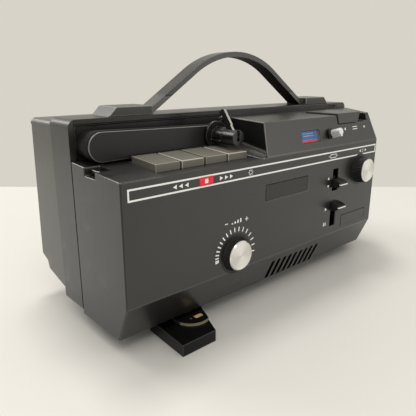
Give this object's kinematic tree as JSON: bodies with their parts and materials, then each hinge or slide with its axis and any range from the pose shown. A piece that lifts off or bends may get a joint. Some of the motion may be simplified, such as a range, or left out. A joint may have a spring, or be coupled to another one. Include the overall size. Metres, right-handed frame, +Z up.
{
  "type": "movie projector",
  "caption": "Compact film projector: charcoal moulded case with a folding reel arm, piano keys, speed and focus knobs, carry strap, zoom lens, lamp, belt-driven shutter and swing-out foot.",
  "frame": {"origin": "middle of the bounding box in plan, on the table under the feet", "axes": "+X along the projector from the reel bay to the lens end, +Y from the control face to the back, +Z up"},
  "size_m": [0.339, 0.1606, 0.2072],
  "materials": {
    "case_plastic": "fine texture, charcoal",
    "rear_plastic": "fine texture, charcoal",
    "key_plastic": "satin, grey olive",
    "black_plastic": "satin, black",
    "black_gloss": "moulded gloss, black",
    "spun_aluminium": "turned face, clear lacquer",
    "chrome": "polished",
    "steel": "rolled sheet and turned bar",
    "brass": "stamped",
    "copper": "enamelled wire",
    "rubber": "moulded",
    "clear_glass": "polished, coated",
    "clear_pane": "clear acrylic",
    "blue_card": "printed card",
    "reflector": "silvered glass",
    "ceramic": "glazed steatite",
    "cream_plastic": "moulded switch body",
    "iron": "stacked laminations",
    "board": "paper laminate"
  },
  "bodies": {
    "body": {"front_shell": "case_plastic", "middle_shell": "case_plastic", "rear_cover": "rear_plastic", "mechanism_plate": "steel", "key_switch": "cream_plastic", "speed_control": "board", "format_window": "clear_pane", "format_label": "blue_card", "selector_base": "black_plastic", "name_plate": "black_plastic", "blank_cover": "case_plastic", "arm_pivot": "black_plastic", "handle_strap": "black_plastic", "handle_block_left": "case_plastic", "handle_block_right": "case_plastic", "foot_pivot": "steel", "rubber_feet": "rubber", "case_screws": "steel", "roller_pin": "steel", "lens_mount": "spun_aluminium", "film_gate": "chrome", "pressure_plate": "steel", "lamp_reflector": "reflector", "lamp_socket": "ceramic", "lamp_holder": "steel", "motor": "steel", "motor_bracket": "steel", "drive_belt": "rubber", "shaft_bearings": "brass", "transformer_core": "iron", "transformer_coil": "copper", "circuit_board": "board", "mains_inlet": "black_plastic"},
    "arm": {"reel_arm": "black_plastic", "arm_cover": "black_plastic", "spindle_core": "black_plastic"},
    "spindle": {"reel_spindle": "black_plastic"},
    "latch": {"reel_latch": "chrome"},
    "reverse_key": {"key_reverse": "key_plastic"},
    "off_key": {"key_off": "key_plastic"},
    "forward_key": {"key_forward": "key_plastic"},
    "lamp_key": {"key_lamp": "key_plastic"},
    "speed_dial": {"speed_knob": "black_plastic", "speed_knob_cap": "spun_aluminium"},
    "focus_dial": {"focus_knob": "black_plastic", "focus_knob_cap": "spun_aluminium"},
    "lens": {"lens_barrel": "black_plastic", "lens_glass": "clear_glass"},
    "framing": {"frame_lever": "black_plastic"},
    "still": {"still_lever": "black_plastic"},
    "loop": {"loop_lever": "case_plastic"},
    "selector": {"selector_knob": "chrome"},
    "foot": {"swing_foot": "black_gloss", "foot_detent": "brass"},
    "roller": {"exit_roller": "black_plastic"},
    "rotor": {"motor_shaft": "steel", "cooling_fan": "black_plastic"},
    "shutter_line": {"main_shaft": "steel", "shutter": "steel"},
    "sprocket": {"film_sprocket": "black_plastic"}
  },
  "joints": [
    {"name": "arm_swing", "type": "hinge", "parent": "body", "child": "arm", "pos_m": [-0.1545, -0.01375, 0.1398], "axis": [0, -1, 0], "range_deg": [0, 120]},
    {"name": "spindle_spin", "type": "hinge", "parent": "arm", "child": "spindle", "pos_m": [-0.052, -0.02675, 0.1398], "axis": [0, 1, 0], "continuous": true},
    {"name": "latch_flip", "type": "hinge", "parent": "arm", "child": "latch", "pos_m": [-0.052, -0.04215, 0.1398], "axis": [1, 0, 0], "range_deg": [0, 126]},
    {"name": "key_press_reverse", "type": "slide", "parent": "body", "child": "reverse_key", "axis": [0, 0, -1], "range_m": [0, 0.0035], "stiffness_N_per_m": 500, "springref_m": -0.002},
    {"name": "key_press_off", "type": "slide", "parent": "body", "child": "off_key", "axis": [0, 0, -1], "range_m": [0, 0.0035], "stiffness_N_per_m": 500, "springref_m": -0.002},
    {"name": "key_press_forward", "type": "slide", "parent": "body", "child": "forward_key", "axis": [0, 0, -1], "range_m": [0, 0.0035], "stiffness_N_per_m": 500, "springref_m": -0.002},
    {"name": "key_press_lamp", "type": "slide", "parent": "body", "child": "lamp_key", "axis": [0, 0, -1], "range_m": [0, 0.0035], "stiffness_N_per_m": 500, "springref_m": -0.002},
    {"name": "speed_turn", "type": "hinge", "parent": "body", "child": "speed_dial", "pos_m": [-0.0707, -0.06375, 0.054], "axis": [0, -1, 0], "range_deg": [-90, 90]},
    {"name": "focus_turn", "type": "hinge", "parent": "body", "child": "focus_dial", "pos_m": [0.1005, -0.06375, 0.098], "axis": [0, -1, 0], "range_deg": [-180, 180]},
    {"name": "lens_focus", "type": "slide", "parent": "body", "child": "lens", "axis": [1, 0, 0], "range_m": [-0.004, 0.004]},
    {"name": "frame_slide", "type": "slide", "parent": "body", "child": "framing", "axis": [0, 0, 1], "range_m": [-0.004, 0.01]},
    {"name": "still_slide", "type": "slide", "parent": "body", "child": "still", "axis": [0, 0, 1], "range_m": [-0.017, 0]},
    {"name": "loop_slide", "type": "slide", "parent": "body", "child": "loop", "axis": [1, 0, 0], "range_m": [0, 0.009]},
    {"name": "selector_turn", "type": "hinge", "parent": "body", "child": "selector", "pos_m": [0.0505, -0.06054, 0.13635], "axis": [0, -0.9622, 0.2724], "range_deg": [0, 60]},
    {"name": "foot_swing", "type": "hinge", "parent": "body", "child": "foot", "pos_m": [-0.1075, -0.04675, 0.006], "axis": [0, 0, -1], "range_deg": [0, 90]},
    {"name": "roller_spin", "type": "hinge", "parent": "body", "child": "roller", "pos_m": [-0.1635, -0.02625, 0.1248], "axis": [0, 1, 0], "continuous": true},
    {"name": "motor_spin", "type": "hinge", "parent": "body", "child": "rotor", "pos_m": [-0.0095, 0.04225, 0.055], "axis": [1, 0, 0], "continuous": true},
    {"name": "shutter_spin", "type": "hinge", "parent": "body", "child": "shutter_line", "pos_m": [0.0555, -0.03075, 0.055], "axis": [1, 0, 0], "continuous": true},
    {"name": "sprocket_spin", "type": "hinge", "parent": "body", "child": "sprocket", "pos_m": [0.1025, -0.02375, 0.122], "axis": [0, 1, 0], "continuous": true}
  ],
  "couplings": [
    {"joint": "lens_focus", "follows": "focus_turn", "m_per_rad": 0.00127},
    {"joint": "shutter_spin", "follows": "motor_spin", "ratio": 0.33333},
    {"joint": "sprocket_spin", "follows": "motor_spin", "ratio": 0.027778}
  ]
}
